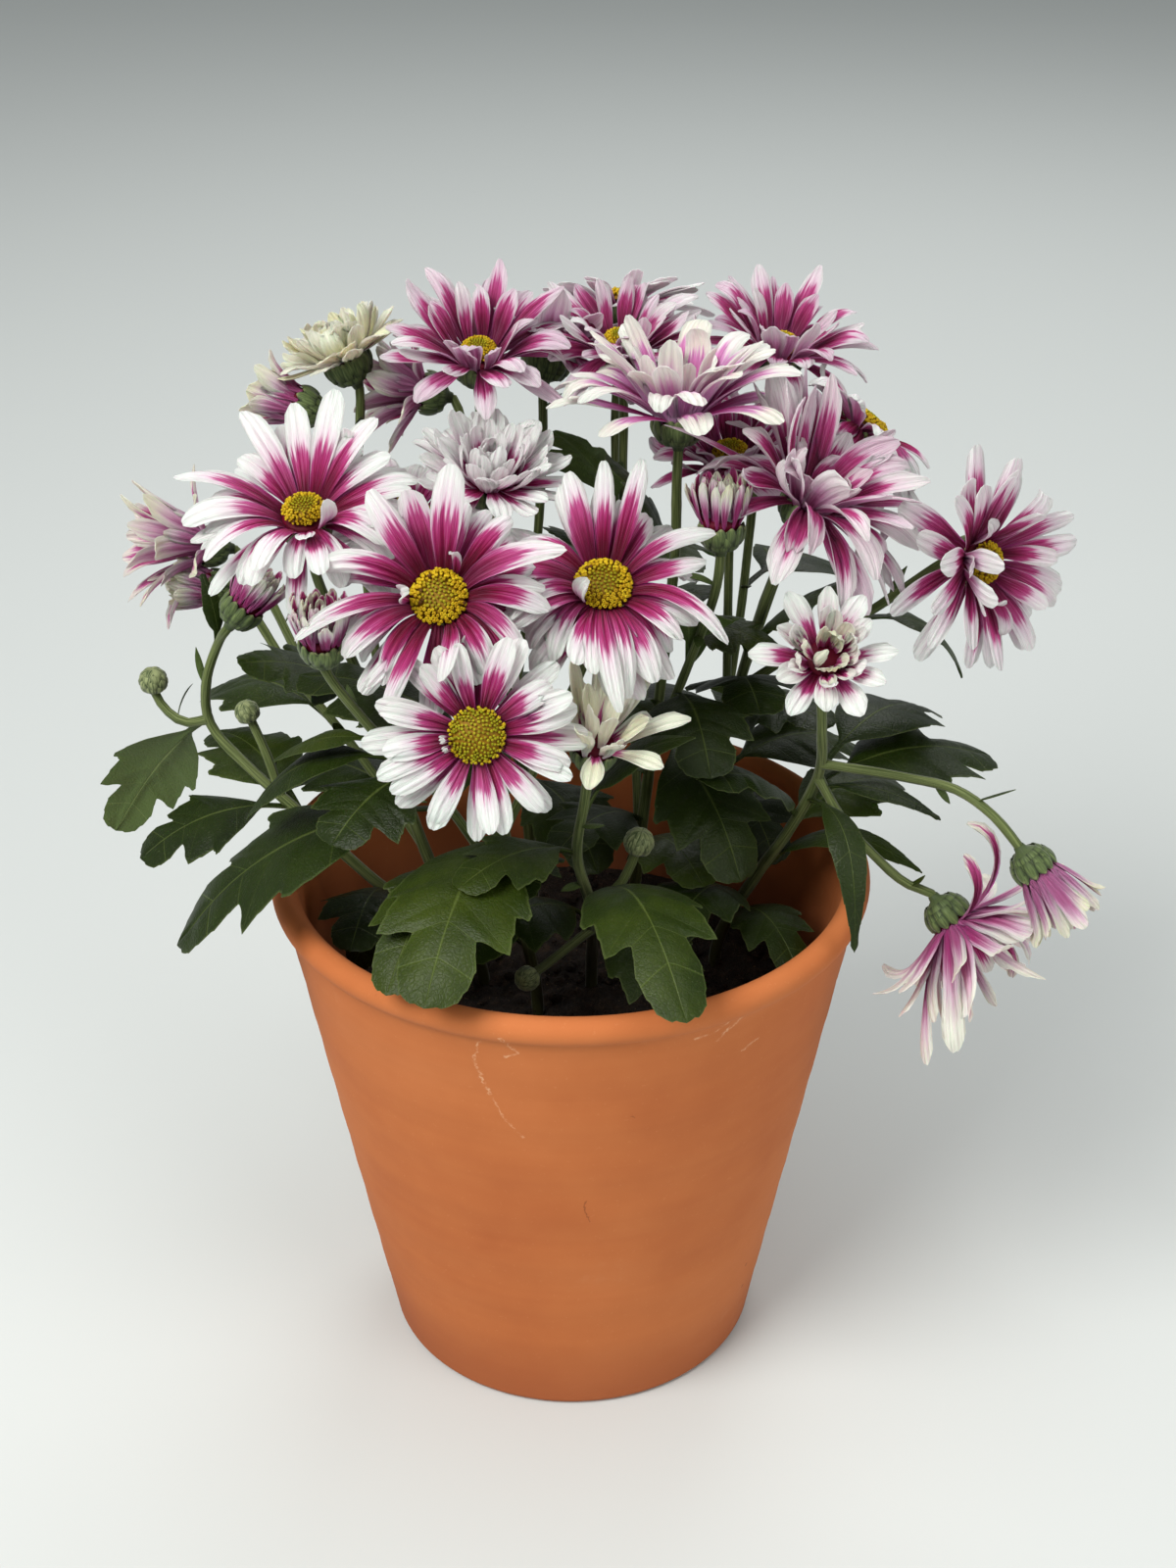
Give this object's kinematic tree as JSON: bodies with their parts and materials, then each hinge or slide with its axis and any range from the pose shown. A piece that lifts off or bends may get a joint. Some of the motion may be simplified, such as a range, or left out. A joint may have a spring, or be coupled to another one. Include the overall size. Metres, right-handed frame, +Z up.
{
  "type": "pot chrysanthemum",
  "caption": "Pot chrysanthemum with daisy-like magenta and white flower heads over lobed green leaves, in a tapered terracotta pot.",
  "frame": {"origin": "on the surface the pot stands on, under the pot's axis", "axes": "+Z up along the pot's axis, -Y towards the side most heads face, +X to that side's right"},
  "size_m": [0.2849, 0.1957, 0.3222],
  "materials": {
    "terracotta": "matte unglazed fired clay with pale salt marks",
    "soil": "dark crumbly moist potting soil",
    "foliage": "matte dark green leaves and paler downy stems",
    "ray_florets": "soft satin petals, magenta at the foot and white at the tip",
    "disc_florets": "matte golden yellow florets"
  },
  "bodies": {
    "root": {"terracotta_pot": "terracotta", "soil": "soil", "spray_left": "foliage", "spray_front": "foliage", "spray_right": "foliage", "spray_centre": "foliage", "spray_left_back": "foliage", "spray_back": "foliage", "spray_top": "foliage", "spray_right_back": "foliage", "rays_front_low": "ray_florets", "rays_front_high": "ray_florets", "rays_centre": "ray_florets", "rays_left_high": "ray_florets", "rays_back_left": "ray_florets", "rays_back_left_far": "ray_florets", "rays_top": "ray_florets", "rays_back_centre": "ray_florets", "rays_far_centre": "ray_florets", "rays_far_right": "ray_florets", "rays_back_right": "ray_florets", "rays_right_high": "ray_florets", "rays_right_inner": "ray_florets", "rays_right_side": "ray_florets", "rays_left_inner": "ray_florets", "rays_half_open_right": "ray_florets", "rays_half_open_white": "ray_florets", "rays_half_open_cream": "ray_florets", "rays_half_open_back": "ray_florets", "rays_half_open_left": "ray_florets", "rays_opening_front": "ray_florets", "rays_nodding_low": "ray_florets", "rays_nodding_side": "ray_florets", "rays_bud_right": "ray_florets", "rays_bud_back_left": "ray_florets", "rays_bud_left_low": "ray_florets", "rays_bud_left": "ray_florets", "rays_bud_front_left": "ray_florets", "disc_front_low": "disc_florets", "disc_front_high": "disc_florets", "disc_centre": "disc_florets", "disc_left_high": "disc_florets", "disc_back_left": "disc_florets", "disc_back_left_far": "disc_florets", "disc_top": "disc_florets", "disc_back_centre": "disc_florets", "disc_far_centre": "disc_florets", "disc_far_right": "disc_florets", "disc_back_right": "disc_florets", "disc_right_high": "disc_florets", "disc_right_inner": "disc_florets", "disc_right_side": "disc_florets", "disc_left_inner": "disc_florets"}
  },
  "joints": []
}
